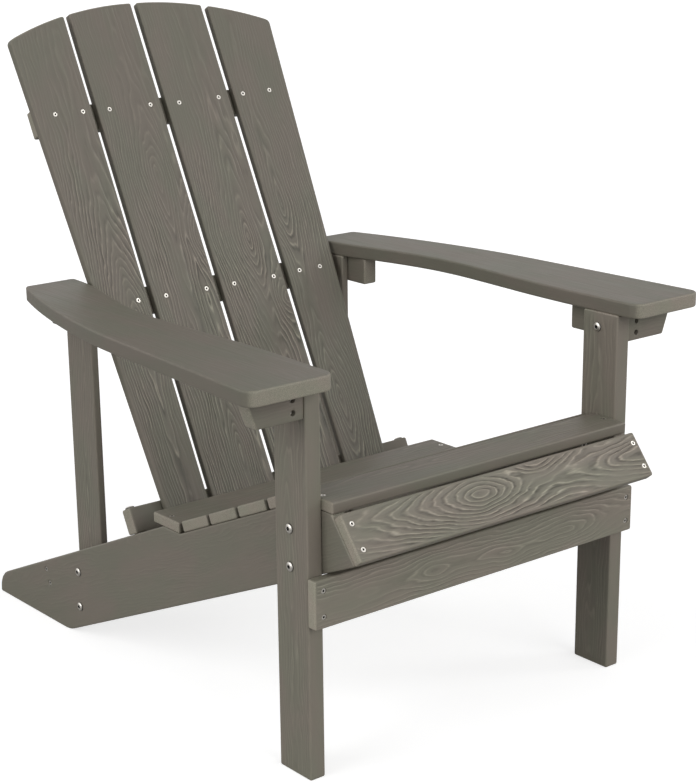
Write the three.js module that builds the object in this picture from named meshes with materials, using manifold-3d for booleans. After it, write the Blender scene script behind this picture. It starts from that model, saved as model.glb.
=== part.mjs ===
// An adirondack chair of moulded wood-grain boards, held together by bolts and sleeve nuts.
// Millimetres, +Z up. The chair faces -Y. Left is -X and right is +X, as seen from the front.
// While the chair is drawn, x is measured from its middle, y from the front of its legs and
// z from the floor; the last lines move its origin to the middle of its footprint.
import * as THREE from "three";
import { mergeVertices } from "three/addons/utils/BufferGeometryUtils.js";
import Module from "manifold-3d";

const wasm = await Module();
wasm.setup();

// ---- Board stock ----
const PLANK = { thick: 15, wide: 64 };
const POST_THICK = 12;
const BATTEN = { thick: 23, wide: 39.5 };
const LEG = { thick: 23, wide: 63 };
const STRINGER_THICK = 20;
const ARM_THICK = 20;
const SLAT_THICK = 12.5;
const EASE = 2.5; // radius worked along the edges of a board
const CORNER = 3; // radius of the corners of a board's face
const CLEARANCE = 0.3; // between pieces that meet at an angle, and round the bolts

// ---- Widths: how far each plane stands from the middle ----
const STRINGER_OUT = 252;
const STRINGER_IN = STRINGER_OUT - STRINGER_THICK;
const LEG_OUT = STRINGER_OUT + LEG.thick;
const POST_IN = STRINGER_IN - POST_THICK;
const APRON_END = LEG_OUT + 1;

// ---- Stringers: two parallel sloping edges, a seat cut and a flat foot ----
const FALL = 0.442; // drop of the stringer's edges per millimetre rearwards
const STRINGER_TOP = 389.4; // height of the line of the top edge at y = 0
const STRINGER_BOTTOM = 270; // height of the line of the bottom edge at y = 0
const STRINGER_REAR = 815.75;
const STRINGER_REAR_RADIUS = 36;
const STRINGER_FOOT_RADIUS = 60;

// ---- Seat ----
const SEAT_FRONT = { y: -21.5, z: 351.5 }; // front edge and underside of the front board
const SLOPE_TOP = { y: 41.5, z: 351.5 }; // where the level front of the seat starts to fall
const SLOPE_END = { y: 307.5, z: 236 }; // where the stringer's level step for the rear slat starts
const SEAT_SLATS = 4;
const SEAT_SLAT_FIRST = 6; // from the top of the slope to the first sloping slat
const SEAT_SLAT_PITCH = 69.7;
const REAR_SLAT = { front: SLOPE_END.y + 0.5, wide: 62 };

// ---- Front ----
const APRON_BOTTOM = 206.5;
const WATERFALL_TOP = { y: -33.8, z: 356.1 }; // top edge of the slanted board's face
const WATERFALL_LEAN = 38.5; // degrees from upright, its foot forwards

// ---- Arms and what carries them ----
const ARM_BOTTOM = 508.5;
const ARM_FRONT = -33;
const ARM_REAR = 606.5;
const BRACKET = { front: 2, bottomEnd: 344, topEnd: 358.5 };
const FRONT_CLEAT_REAR = 108;
const POST = { front: ARM_REAR - PLANK.wide, bottom: 31 };
const REAR_CLEAT_FRONT = 503.5;
const STRETCHER = { y: 666, z: 69 }; // its middle

// ---- The arm's outline, x from the chair's middle ----
// Each curve is a Bezier curve, given by its two ends and the two points that pull it.
const ARM_CORNERS = { innerFront: 253.5, outerFront: 380.5, outerRear: 293, innerRear: 216 };
const ARM_CORNER_RADIUS = { front: 17, rear: 6 };
const ARM_OUTSIDE = [[363, 270], [358.5, 365], [332, 495], [298, ARM_REAR - 12]];
const ARM_INSIDE_REAR = [[216, ARM_REAR - 12], [216, 520], [259, 440], [259, 330]];
const ARM_INSIDE_FRONT = [[259, 330], [259, 260], [250, 200], [250.5, 100]];

// ---- Back: planks on hollow rails, in a frame that leans with them ----
// In that frame x runs across, y up along the slats and z forwards, out of their faces.
const BACK_FOOT = 309.8; // y at which the plane of the slats' faces meets the floor
const BACK_LEAN = 26.6; // degrees from upright
const HOLLOW_RADIUS = 2325; // of the curve across the back
const BACK_BOTTOM = 232;
const BACK_TOP = 994;
const TOP_RADIUS = 575; // of the arc that runs across all the slats' tops
const TOP_STEPS = 6; // flats along each slat's part of that arc
const INNER_SLAT = [5, 116];
const OUTER_SLAT = [125.5, 197]; // at its foot
const OUTER_SLAT_FLARE = 30.5; // how much further out its outer edge stands at the top
const UPPER_RAIL = { row: 830, half: 215 };
const MIDDLE_RAIL = { row: 552.5, half: POST_IN };
const LOWER_RAIL = { top: 268.5, half: STRINGER_OUT, blank: 46 }; // blank: height before its foot is cut
const RAIL_STEPS = 14; // flats along a rail's hollow face

// ---- Bolts and sleeve nuts ----
// Radii of shank, head, barrel, flange and socket; a bolt's dome springs from a low rim.
const BOLT = { shank: 3, head: 6.4, rim: 0.8, dome: 3.4, socket: 2.3, socketDepth: 2.2, point: 0.8 };
const NUT = { barrel: 4, flange: 5.5, rim: 1, flangeThick: 1.6, length: 14, floor: 1.6 };
const END_GAP = 1; // between a bolt's end and the bottom of what it goes into
const DOME_STEPS = 3;
const BOLT_SIDES = 12;
const ARM_BOLT_BITE = 28; // how far an arm's rear bolt reaches into the middle rail
const RAIL_SCREW = { x: 244.5, length: 75 };

const X = new THREE.Vector3(1, 0, 0);
const Y = new THREE.Vector3(0, 1, 0);
const Z = new THREE.Vector3(0, 0, 1);
const degrees = THREE.MathUtils.degToRad;

const MATERIALS = {
  board: new THREE.MeshStandardMaterial({ color: 0x6f6a60, roughness: 0.62, metalness: 0 }),
  steel: new THREE.MeshStandardMaterial({ color: 0xc9c9c6, roughness: 0.3, metalness: 1 }),
};

// ---- Solids: cutting one closed geometry with another ----

function solidOf(geometry) {
  const bare = geometry.clone();
  bare.deleteAttribute("normal");
  bare.deleteAttribute("uv");
  const merged = mergeVertices(bare, 1e-4);
  return new wasm.Manifold(
    new wasm.Mesh({
      numProp: 3,
      vertProperties: merged.attributes.position.array,
      triVerts: new Uint32Array(merged.index.array),
    }),
  );
}

function geometryOf(solid) {
  const mesh = solid.getMesh();
  const geometry = new THREE.BufferGeometry();
  geometry.setAttribute("position", new THREE.BufferAttribute(mesh.vertProperties, 3));
  geometry.setIndex(new THREE.BufferAttribute(mesh.triVerts, 1));
  geometry.computeVertexNormals();
  return geometry;
}

function cut(geometry, tools) {
  const solid = tools.reduce((rest, tool) => rest.subtract(solidOf(tool)), solidOf(geometry));
  return geometryOf(solid);
}

// A round rod from one point to another, used to bore a hole.
function rod(radius, from, to) {
  const along = to.clone().sub(from);
  const turn = new THREE.Quaternion().setFromUnitVectors(Y, along.clone().normalize());
  return new THREE.CylinderGeometry(radius, radius, along.length(), BOLT_SIDES)
    .applyQuaternion(turn)
    .translate(...from.clone().addScaledVector(along, 0.5));
}

// ---- Boards: a face outline, given its thickness, with the edges of both faces eased ----

// A closed outline through its corners, each [a, b] or [a, b, radius of that corner]. A radius
// of 0 leaves a plain point, as along a curve.
function outline(corners) {
  const at = (i) => new THREE.Vector2(...corners.at(i % corners.length));
  const points = corners.flatMap(([, , radius = CORNER], i) => {
    if (radius === 0) return [at(i)];
    const back = at(i - 1).sub(at(i)).normalize();
    const ahead = at(i + 1).sub(at(i)).normalize();
    const half = back.angleTo(ahead) / 2;
    const middle = back.clone().add(ahead).setLength(radius / Math.sin(half)).add(at(i));
    const start = back.clone().multiplyScalar(radius / Math.tan(half)).add(at(i));
    const turn = (Math.PI - 2 * half) * -Math.sign(back.cross(ahead));
    const steps = Math.max(2, Math.round((Math.abs(turn) * Math.sqrt(radius)) / 1.3));
    return Array.from({ length: steps + 1 }, (_, k) =>
      start.clone().rotateAround(middle, (turn * k) / steps),
    );
  });
  return new THREE.Shape(points);
}

// The points along a Bezier curve, as plain points for an outline.
function bezier(controls, steps) {
  const curve = new THREE.CubicBezierCurve(...controls.map((point) => new THREE.Vector2(...point)));
  return curve.getPoints(steps).map(({ x, y }) => [x, y, 0]);
}

function rectangle(left, bottom, right, top) {
  return outline([
    [left, bottom],
    [right, bottom],
    [right, top],
    [left, top],
  ]);
}

// The outline lies in the xy plane and the board's thickness rises from it along z.
function board(shape, thick) {
  return new THREE.ExtrudeGeometry(shape, {
    depth: thick - 2 * EASE,
    bevelThickness: EASE,
    bevelSize: EASE,
    bevelOffset: -EASE,
    bevelSegments: 2,
  }).translate(0, 0, EASE);
}

// A board whose face is seen from the side: its outline is in y and z, from x = inner outwards.
function sideBoard(shape, inner, thick) {
  return board(shape, thick)
    .applyMatrix4(new THREE.Matrix4().makeBasis(Y, Z, X))
    .translate(inner, 0, 0);
}

// A board whose face is seen from the front: its outline is in x and z, its back at y = rear.
function frontBoard(shape, rear, thick) {
  return board(shape, thick)
    .applyMatrix4(new THREE.Matrix4().makeBasis(X, Z, Y.clone().negate()))
    .translate(0, rear, 0);
}

// ---- Placing pieces ----

const chair = new THREE.Group();

function place(name, geometry, material = MATERIALS.board, parent = chair) {
  const mesh = new THREE.Mesh(geometry, material);
  mesh.name = name;
  parent.add(mesh);
  return mesh;
}

// A piece drawn on the right-hand side, and its mirror image on the left.
function placePair(name, geometry, material, parent) {
  const right = place(`${name}_right`, geometry, material, parent);
  const left = place(`${name}_left`, geometry, material, parent);
  left.position.x = -right.position.x;
  left.scale.x = -1;
}

// A group that leans about the X axis, standing on the point (0, y, z) of the chair.
function leaningGroup(y, z, angle) {
  const group = new THREE.Group();
  group.position.set(0, y, z);
  group.rotation.x = degrees(angle);
  group.updateMatrix();
  chair.add(group);
  return group;
}

const backFrame = leaningGroup(BACK_FOOT, 0, 90 - BACK_LEAN);
const inBack = (x, y, z) => new THREE.Vector3(x, y, z).applyMatrix4(backFrame.matrix);

// How far forwards the hollow back stands at x from the middle.
const hollow = (x) => HOLLOW_RADIUS - Math.sqrt(HOLLOW_RADIUS ** 2 - x ** 2);

// The flat slats bear on the hollow rails near their edges, so the rails' faces stand back a
// little further than the slats are thick.
const RAIL_FACE = -SLAT_THICK - hollow((INNER_SLAT[1] - INNER_SLAT[0]) / 2) - CLEARANCE;
const railMiddle = (half) => RAIL_FACE + hollow(half) - BATTEN.thick / 2;

// ---- Bolted joints: each bolt's axis, the face under its head and the face the nut lies on ----

const armRailCentre = inBack(0, MIDDLE_RAIL.row, railMiddle(MIDDLE_RAIL.half));
const BOLTS = {
  leg_bolt_upper: { y: 34, z: 325, head: LEG_OUT, nut: STRINGER_IN },
  leg_bolt_lower: { y: 34, z: 276, head: LEG_OUT, nut: STRINGER_IN },
  post_bolt_upper: { y: 576, z: 102, head: STRINGER_OUT, nut: POST_IN },
  post_bolt_lower: { y: 576, z: 48, head: STRINGER_OUT, nut: POST_IN },
  arm_bolt_front: { y: 36.5, z: 487.5, head: STRINGER_OUT, nut: LEG_OUT + BATTEN.thick },
  arm_bolt_rear: {
    y: armRailCentre.y,
    z: armRailCentre.z,
    head: STRINGER_IN + BATTEN.thick,
    end: POST_IN - ARM_BOLT_BITE,
  },
};

// The holes for a bolt: clear of its shank all the way, and of its nut's barrel.
function boltHoles({ y, z, head, nut, end = nut }) {
  const way = Math.sign(end - head);
  const at = (x) => new THREE.Vector3(x, y, z);
  const holes = [rod(BOLT.shank + CLEARANCE, at(head - way), at(end + way))];
  if (nut !== undefined) {
    const deep = nut - way * (NUT.length + CLEARANCE);
    holes.push(rod(NUT.barrel + CLEARANCE, at(nut + way), at(deep)));
  }
  return holes;
}

function drill(geometry, ...names) {
  return cut(geometry, names.flatMap((name) => boltHoles(BOLTS[name])));
}

// A screw drives down through the lower rail into the edge of each stringer.
function railScrewHole() {
  const { half, top } = LOWER_RAIL;
  const middle = railMiddle(half);
  const from = new THREE.Vector3(RAIL_SCREW.x, top + 1, middle);
  const to = new THREE.Vector3(RAIL_SCREW.x, top - RAIL_SCREW.length - CLEARANCE, middle);
  return rod(BOLT.shank + CLEARANCE, from, to);
}

// ---- Fasteners, standing along y with the underside of the head at y = 0 ----

function boltGeometry(length) {
  const { shank, head, rim, dome, socket, socketDepth, point } = BOLT;
  const arc = Array.from({ length: DOME_STEPS + 1 }, (_, i) => {
    const angle = (i * Math.PI) / 2 / DOME_STEPS;
    return [head * Math.cos(angle), rim + (dome - rim) * Math.sin(angle)];
  });
  const profile = [
    [0, -length],
    [shank - point, -length],
    [shank, -length + point],
    [shank, 0],
    [head, 0],
    ...arc.slice(0, -1),
    [0, dome],
  ].map(([r, y]) => new THREE.Vector2(r, y));
  const key = new THREE.CylinderGeometry(socket, socket, 2 * socketDepth, 6).translate(0, dome, 0);
  return cut(new THREE.LatheGeometry(profile, BOLT_SIDES), [key]);
}

// A sleeve nut: a flange with a barrel that is open at its far end for the bolt.
function nutGeometry() {
  const { barrel, flange, rim, flangeThick, length, floor } = NUT;
  const bore = BOLT.shank + CLEARANCE;
  const profile = [
    [0, -floor],
    [bore, -floor],
    [bore, -length],
    [barrel, -length],
    [barrel, 0],
    [flange, 0],
    [flange, rim],
    [flange + rim - flangeThick, flangeThick],
    [0, flangeThick],
  ].map(([r, y]) => new THREE.Vector2(r, y));
  return new THREE.LatheGeometry(profile, BOLT_SIDES);
}

// Stand a fastener at x on a bolt's axis, its head pointing along way (+1 or -1) in x.
function alongX(geometry, x, { y, z }, way) {
  return geometry.rotateZ((-way * Math.PI) / 2).translate(x, y, z);
}

function placeBolt(name, bolt) {
  const reach = bolt.head - (bolt.nut ?? bolt.end);
  const way = Math.sign(reach);
  const length = Math.abs(reach) - END_GAP - (bolt.nut === undefined ? 0 : NUT.floor);
  placePair(name, alongX(boltGeometry(length), bolt.head, bolt, way), MATERIALS.steel);
  if (bolt.nut !== undefined) {
    const nutName = name.replace("bolt", "nut");
    placePair(nutName, alongX(nutGeometry(), bolt.nut, bolt, -way), MATERIALS.steel);
  }
}

// ---- The frame ----

// Where the stringer's slanted front cut crosses a height, just behind the waterfall board.
function frontCut(z) {
  const lean = degrees(WATERFALL_LEAN);
  const behind = (PLANK.thick + CLEARANCE) / Math.cos(lean);
  return WATERFALL_TOP.y + behind - (WATERFALL_TOP.z - z) * Math.tan(lean);
}

const stringerTop = (y) => STRINGER_TOP - FALL * y;

function stringerShape() {
  const lean = Math.tan(degrees(WATERFALL_LEAN));
  const bottomOfCut = (STRINGER_BOTTOM - FALL * frontCut(0)) / (1 + FALL * lean);
  return outline([
    [frontCut(SEAT_FRONT.z), SEAT_FRONT.z],
    [frontCut(bottomOfCut), bottomOfCut],
    [STRINGER_BOTTOM / FALL, 0, STRINGER_FOOT_RADIUS],
    [STRINGER_REAR, 0],
    [STRINGER_REAR, stringerTop(STRINGER_REAR), STRINGER_REAR_RADIUS],
    [(STRINGER_TOP - SLOPE_END.z) / FALL, SLOPE_END.z],
    [SLOPE_END.y, SLOPE_END.z],
    [SLOPE_TOP.y, SLOPE_TOP.z],
  ]);
}

function addStringers() {
  const bolts = ["leg_bolt_upper", "leg_bolt_lower", "post_bolt_upper", "post_bolt_lower"];
  const whole = sideBoard(stringerShape(), STRINGER_IN, STRINGER_THICK);
  const screwHole = railScrewHole().applyMatrix4(backFrame.matrix);
  placePair("stringer", cut(drill(whole, ...bolts), [screwHole]));
}

function addFrontLegs() {
  const whole = sideBoard(rectangle(0, 0, LEG.wide, ARM_BOTTOM), STRINGER_OUT, LEG.thick);
  placePair("front_leg", drill(whole, "leg_bolt_upper", "leg_bolt_lower", "arm_bolt_front"));
}

function addRearPosts() {
  const face = rectangle(POST.front, POST.bottom, ARM_REAR, ARM_BOTTOM);
  const whole = sideBoard(face, POST_IN, POST_THICK);
  placePair("rear_post", drill(whole, "post_bolt_upper", "post_bolt_lower", "arm_bolt_rear"));
}

// A batten that ties the two stringers together behind the back.
function addRearStretcher() {
  const slope = THREE.MathUtils.radToDeg(Math.atan(FALL));
  const frame = leaningGroup(STRETCHER.y, STRETCHER.z, -slope);
  const face = rectangle(-STRINGER_IN, -BATTEN.wide / 2, STRINGER_IN, BATTEN.wide / 2);
  place("rear_stretcher", frontBoard(face, BATTEN.thick / 2, BATTEN.thick), undefined, frame);
}

// ---- The seat and the front ----

function addSeat() {
  const [left, right] = [-STRINGER_OUT, STRINGER_OUT];
  const front = rectangle(left, SEAT_FRONT.y, right, SLOPE_TOP.y);
  place("seat_front_board", board(front, PLANK.thick)).position.z = SEAT_FRONT.z;

  const fall = Math.atan2(SLOPE_END.z - SLOPE_TOP.z, SLOPE_END.y - SLOPE_TOP.y);
  const slope = leaningGroup(SLOPE_TOP.y, SLOPE_TOP.z, THREE.MathUtils.radToDeg(fall));
  for (let i = 0; i < SEAT_SLATS; i++) {
    const start = SEAT_SLAT_FIRST + i * SEAT_SLAT_PITCH;
    const face = rectangle(left, start, right, start + PLANK.wide);
    const slat = place(`seat_slat_${i + 1}`, board(face, PLANK.thick), undefined, slope);
    slat.position.z = CLEARANCE;
  }

  const rear = rectangle(left, REAR_SLAT.front, right, REAR_SLAT.front + REAR_SLAT.wide);
  place("seat_rear_slat", board(rear, PLANK.thick)).position.z = SLOPE_END.z;
}

function addApron() {
  const face = rectangle(-APRON_END, APRON_BOTTOM, APRON_END, APRON_BOTTOM + PLANK.wide);
  place("front_apron", frontBoard(face, 0, PLANK.thick));
}

// The slanted board that carries the seat's front edge down over the ends of the stringers.
function addWaterfallBoard() {
  const frame = leaningGroup(WATERFALL_TOP.y, WATERFALL_TOP.z, 90 - WATERFALL_LEAN);
  const face = rectangle(-STRINGER_OUT, -PLANK.wide, STRINGER_OUT, 0);
  const slanted = place("waterfall_board", board(face, PLANK.thick), undefined, frame);
  slanted.position.z = -PLANK.thick;
}

// ---- The arms ----

// Each arm widens from the back post to the front, where its corners have a fuller round. Its
// inner edge stands off the sitter's elbow halfway along and comes in at both ends.
function armShape() {
  const { innerFront, outerFront, outerRear, innerRear } = ARM_CORNERS;
  const { front: full, rear: small } = ARM_CORNER_RADIUS;
  return outline([
    [innerFront, ARM_FRONT, full],
    [outerFront, ARM_FRONT, full],
    ...bezier(ARM_OUTSIDE, 8),
    [outerRear, ARM_REAR, small],
    [innerRear, ARM_REAR, small],
    ...bezier(ARM_INSIDE_REAR, 8),
    ...bezier(ARM_INSIDE_FRONT, 6).slice(1),
  ]);
}

function addArms() {
  placePair("armrest", board(armShape(), ARM_THICK).translate(0, 0, ARM_BOTTOM));
}

// A cleat along the outside of each leg and post, and a bracket across each leg, carry the arm.
function addArmCleats() {
  const bottom = ARM_BOTTOM - BATTEN.wide;
  const bracketRear = BRACKET.front + BATTEN.thick;

  const frontFace = rectangle(bracketRear, bottom, FRONT_CLEAT_REAR, ARM_BOTTOM);
  const frontCleat = sideBoard(frontFace, LEG_OUT, BATTEN.thick);
  placePair("front_cleat", drill(frontCleat, "arm_bolt_front"));

  const rearFace = rectangle(REAR_CLEAT_FRONT, bottom, ARM_REAR, ARM_BOTTOM);
  const rearCleat = sideBoard(rearFace, STRINGER_IN, BATTEN.thick);
  placePair("rear_cleat", drill(rearCleat, "arm_bolt_rear"));

  const bracketFace = outline([
    [LEG_OUT, bottom],
    [BRACKET.bottomEnd, bottom],
    [BRACKET.topEnd, ARM_BOTTOM],
    [LEG_OUT, ARM_BOTTOM],
  ]);
  placePair("front_bracket", frontBoard(bracketFace, bracketRear, BATTEN.thick));
}

// ---- The back ----

// A slat's face between two distances from the middle. Its top follows the arc across the back,
// and its outer edge leans out by flare.
function slatShape([inner, outer], flare, outerRadius) {
  const top = (x) => BACK_TOP - TOP_RADIUS + Math.sqrt(TOP_RADIUS ** 2 - x ** 2);
  const wide = outer + flare - inner;
  const along = Array.from({ length: TOP_STEPS - 1 }, (_, i) => {
    const x = outer + flare - (wide * (i + 1)) / TOP_STEPS;
    return [x, top(x), 0];
  });
  return outline([
    [inner, BACK_BOTTOM],
    [outer, BACK_BOTTOM],
    [outer + flare, top(outer + flare), outerRadius],
    ...along,
    [inner, top(inner)],
  ]);
}

// Each slat is turned a little about its length, so that it lies along the hollow of the rails.
function addBackSlats() {
  const slats = [
    { numbers: [2, 3], span: INNER_SLAT, flare: 0, outerRadius: CORNER },
    { numbers: [1, 4], span: OUTER_SLAT, flare: OUTER_SLAT_FLARE, outerRadius: 9 },
  ];
  for (const { numbers, span, flare, outerRadius } of slats) {
    const middle = (span[0] + span[1] + flare / 2) / 2;
    const turned = board(slatShape(span, flare, outerRadius), SLAT_THICK)
      .translate(-middle, 0, -SLAT_THICK)
      .rotateY(-Math.asin(middle / HOLLOW_RADIUS));
    numbers.forEach((number, side) => {
      const slat = place(`back_slat_${number}`, turned, undefined, backFrame);
      const way = side === 0 ? -1 : 1;
      slat.scale.x = way;
      slat.position.set(way * middle, 0, hollow(middle));
    });
  }
}

// A rail's outline seen from above: straight behind and hollow in front, as deep as the stock
// at its ends. It is drawn in x and z of the back's frame and reaches down from y = top.
function hollowRail(half, top, height) {
  const rear = RAIL_FACE + hollow(half) - BATTEN.thick;
  const face = Array.from({ length: RAIL_STEPS - 1 }, (_, i) => {
    const x = half - (2 * half * (i + 1)) / RAIL_STEPS;
    return [x, RAIL_FACE + hollow(x), 0];
  });
  const shape = outline([
    [-half, rear],
    [half, rear],
    [half, rear + BATTEN.thick],
    ...face,
    [-half, rear + BATTEN.thick],
  ]);
  return board(shape, height)
    .rotateX(Math.PI / 2)
    .translate(0, top, 0);
}

const mirrored = (geometry) => geometry.clone().rotateZ(Math.PI);

function addUpperRail() {
  const { row, half } = UPPER_RAIL;
  const rail = hollowRail(half, row + BATTEN.wide / 2, BATTEN.wide);
  place("back_rail_upper", rail, undefined, backFrame);
}

// The middle rail spans the rear posts, and the arms' rear bolts end in it.
function addMiddleRail() {
  const { row, half } = MIDDLE_RAIL;
  const rail = hollowRail(half, BATTEN.wide / 2, BATTEN.wide);
  const at = (x) => new THREE.Vector3(x, 0, railMiddle(half));
  const hole = rod(BOLT.shank + CLEARANCE, at(half - ARM_BOLT_BITE - 1), at(half + 1));
  const drilled = cut(rail, [hole, mirrored(hole)]);
  place("back_rail_middle", drilled, undefined, backFrame).position.y = row;
}

// The lower rail stands on the stringers, its foot cut to their slope.
function addLowerRail() {
  const { half, top, blank } = LOWER_RAIL;
  const rail = hollowRail(half, top, blank).applyMatrix4(backFrame.matrix);
  const wedge = 100; // more than the slope takes off
  const slope = new THREE.BoxGeometry(3 * half, 2 * wedge, wedge)
    .translate(0, 0, CLEARANCE - wedge / 2)
    .rotateX(-Math.atan(FALL))
    .translate(0, BACK_FOOT + wedge, stringerTop(BACK_FOOT + wedge));
  const hole = railScrewHole().applyMatrix4(backFrame.matrix);
  const otherHole = hole.clone().translate(-2 * RAIL_SCREW.x, 0, 0);
  place("back_rail_lower", cut(rail, [slope, hole, otherHole]));

  const screw = boltGeometry(RAIL_SCREW.length).translate(RAIL_SCREW.x, top, railMiddle(half));
  placePair("rail_screw", screw, MATERIALS.steel, backFrame);
}

chair.updateMatrixWorld(true);
addStringers();
addFrontLegs();
addRearPosts();
addRearStretcher();
addSeat();
addApron();
addWaterfallBoard();
addArms();
addArmCleats();
addBackSlats();
addUpperRail();
addMiddleRail();
addLowerRail();
for (const [name, bolt] of Object.entries(BOLTS)) placeBolt(name, bolt);

// Move the origin to the middle of the chair's footprint, on the floor. The shift is rounded to
// a quarter millimetre, so that faces in contact stay exactly in contact.
const bounds = new THREE.Box3().setFromObject(chair, true);
chair.position.y = -Math.round(2 * (bounds.min.y + bounds.max.y)) / 4;
const model = new THREE.Group().add(chair);

export default model;
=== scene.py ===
import math
from collections import defaultdict, namedtuple

import bmesh
import bpy
import numpy as np
from mathutils import Matrix, Vector
from mathutils.geometry import delaunay_2d_cdt


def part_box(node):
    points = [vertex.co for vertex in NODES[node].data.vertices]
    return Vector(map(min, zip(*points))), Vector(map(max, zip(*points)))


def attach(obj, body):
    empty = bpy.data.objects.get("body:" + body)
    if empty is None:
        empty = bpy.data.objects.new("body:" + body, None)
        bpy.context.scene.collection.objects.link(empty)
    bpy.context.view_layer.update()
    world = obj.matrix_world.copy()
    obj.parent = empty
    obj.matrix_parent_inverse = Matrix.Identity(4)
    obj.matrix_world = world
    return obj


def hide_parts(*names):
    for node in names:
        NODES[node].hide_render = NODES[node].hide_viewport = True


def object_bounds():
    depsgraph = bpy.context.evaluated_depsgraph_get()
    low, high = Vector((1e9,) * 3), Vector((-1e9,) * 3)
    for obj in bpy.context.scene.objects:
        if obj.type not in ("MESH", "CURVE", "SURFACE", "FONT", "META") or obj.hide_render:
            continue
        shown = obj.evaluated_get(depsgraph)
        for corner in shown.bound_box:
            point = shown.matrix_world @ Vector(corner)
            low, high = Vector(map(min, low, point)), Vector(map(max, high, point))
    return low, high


# The looks of an adirondack chair of grey wood-grain boards. Each board is made again around the
# outline of its CAD node, with rounded edges, the grain embossed in its faces as real relief, and
# countersunk screws. Metres, +Z up, the chair faces -Y. Lengths below are written as n * MM.

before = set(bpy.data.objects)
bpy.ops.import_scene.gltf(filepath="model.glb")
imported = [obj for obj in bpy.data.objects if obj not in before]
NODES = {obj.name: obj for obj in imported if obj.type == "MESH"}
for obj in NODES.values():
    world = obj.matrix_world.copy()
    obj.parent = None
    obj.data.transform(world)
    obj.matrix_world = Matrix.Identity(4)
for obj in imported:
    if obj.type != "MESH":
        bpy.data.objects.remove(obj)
CAD_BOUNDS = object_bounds()

MM = 0.001

# ---- How boards are made ----
EDGE_RADIUS = 2.5 * MM
EDGE_STEPS = 4
EDGE_HIGHLIGHT = 0.14  # how much paler a rounded edge is: a painted highlight
SAWN_PALENESS = 0.6  # how much paler a sawn end is
SAWN_SPECKLE = 3.5  # how strongly the pores show on sawn ends and on the painted edge highlights
WALL_SUPPORT = 0.8 * MM  # from the rounded edge to the ring that keeps a board's wall flat
SECTION_DEPTH = 3 * MM  # below the show face, where a board's outline is read
ARC_EDGE = 45 * MM  # outline edges longer than this are straight
LEAST_ARC_TURN = math.radians(1.2)
STRAIGHT = math.radians(0.4)  # outline points that turn less than this are left out
WELD = 1e-6
RELIEF_FADE = 1.6 * MM  # the grain's relief runs out over this distance at edges and holes
BACK_FACE_COARSENESS = 2  # the grid of a board's back is this much coarser

# ---- Grain ----
LATTICE = 64
RIDGE_SHARPNESS = 3.2
GROOVE_SHARPNESS = 1.6
GROOVE_LAG = 1.6  # radians from a ridge to the groove beside it
PAINTED_RIDGE_HIGHLIGHT = 0.80  # how much paler than the board a full ridge is: a painted highlight on the embossed ridges
GROOVE_TINT = 0.34  # how much darker a full groove is
EYE_BLEND = 0.7  # rings over which the lines of two eyes merge
EYE_POINT = 1.65  # the power of an eye's ovals: 2 for ellipses, less for pointed ones
CALM = 0.8  # how much of the lines is missing in a calm place
WANDER = 9 * MM  # how far the middle of a figure strays across a board,
WANDER_LENGTH = 0.19  # over about this length
WAVES = (0.085, 0.021)  # how long and how wide the waves of a line are
RIPPLES = (0.03, 0.009)  # and the smaller waves on them
RIPPLE_SHARE = 0.45
PATCHES = (0.13, 0.035)  # how long and how wide the patches of clear lines are
CROWDED = 0.5  # lines to a step of the grid, at which none are left
UNCROWDED = 0.3  # and at which all are there

# ---- Screws and bolts ----
SINK_RADIUS = 3.9 * MM
SINK_DEPTH = 2.6 * MM  # from under a head to the floor of its hole
SINK_SIDES = 24
HEAD_RADIUS = 3.5 * MM
STAR_RADIUS = 1.4 * MM
BOLT_SIDES = 48

# ---- Camera and light ----
CAMERA_PLACE = Vector((-1.5726, -2.0556, 1.1092))
CAMERA_YAW, CAMERA_PITCH, CAMERA_ROLL = 0.680, 0.306, -0.0101
CAMERA_LENS, CAMERA_SENSOR = 87.58, 36.0
CAMERA_SHIFT_Y = 0.0692
DOME_STRENGTH = 0.36
FLOOR_REACH = 40  # metres from the chair to the floor's edge
FLOOR_COLOUR = 0.6
FLOOR_GLOW = 0.7  # seen by the camera only
SUNS = {  # azimuth from the chair's front towards +X, elevation and width in degrees, and strength
    "front": (2, 21, 40, 1.15),
    "left": (-100, 27, 50, 1.25),
    "right": (60, 22, 16, 0.45),
}

BOARD_WARM = (0.178, 0.156, 0.128)
BOARD_GREEN = (0.164, 0.156, 0.122)


# ---- Smooth noise ----

def lattice_noise(x, y, seed):
    """Gradient noise, about -0.7 to 0.7, with one bump per unit. It repeats after LATTICE units."""
    angles = np.random.default_rng(seed).random((LATTICE, LATTICE)) * 2 * math.pi
    column, row = np.floor(x).astype(int), np.floor(y).astype(int)
    across, up = x - column, y - row

    def pull(dx, dy):
        angle = angles[(column + dx) % LATTICE, (row + dy) % LATTICE]
        return np.cos(angle) * (across - dx) + np.sin(angle) * (up - dy)

    def ease(t):
        return t * t * t * (t * (t * 6 - 15) + 10)

    low = pull(0, 0) + (pull(1, 0) - pull(0, 0)) * ease(across)
    high = pull(0, 1) + (pull(1, 1) - pull(0, 1)) * ease(across)
    return low + (high - low) * ease(up)


# ---- The grain's figure ----
# Lines are where a board's face cuts the growth rings of a log. Each eye is a place where the
# face grazes them: the lines close round it as pointed ovals, steeper with a larger slant, and
# beyond its length they run along the board. Its tail, on the side away from the board's grain,
# can be drawn out, so that the ovals become arches. Between two eyes the lines part. In a calm
# place the press left hardly any lines. Places are along and across the board from its middle.

Eye = namedtuple("Eye", "along across slant length tail", defaults=(1.0,))
Calm = namedtuple("Calm", "along across length width")
# A figure's tint sets how strongly its lines show in colour, which includes how bright the painted
# highlight on their ridges is.
Figure = namedtuple("Figure", "spacing waviness depth tint patchy eyes calms", defaults=((),))

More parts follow.
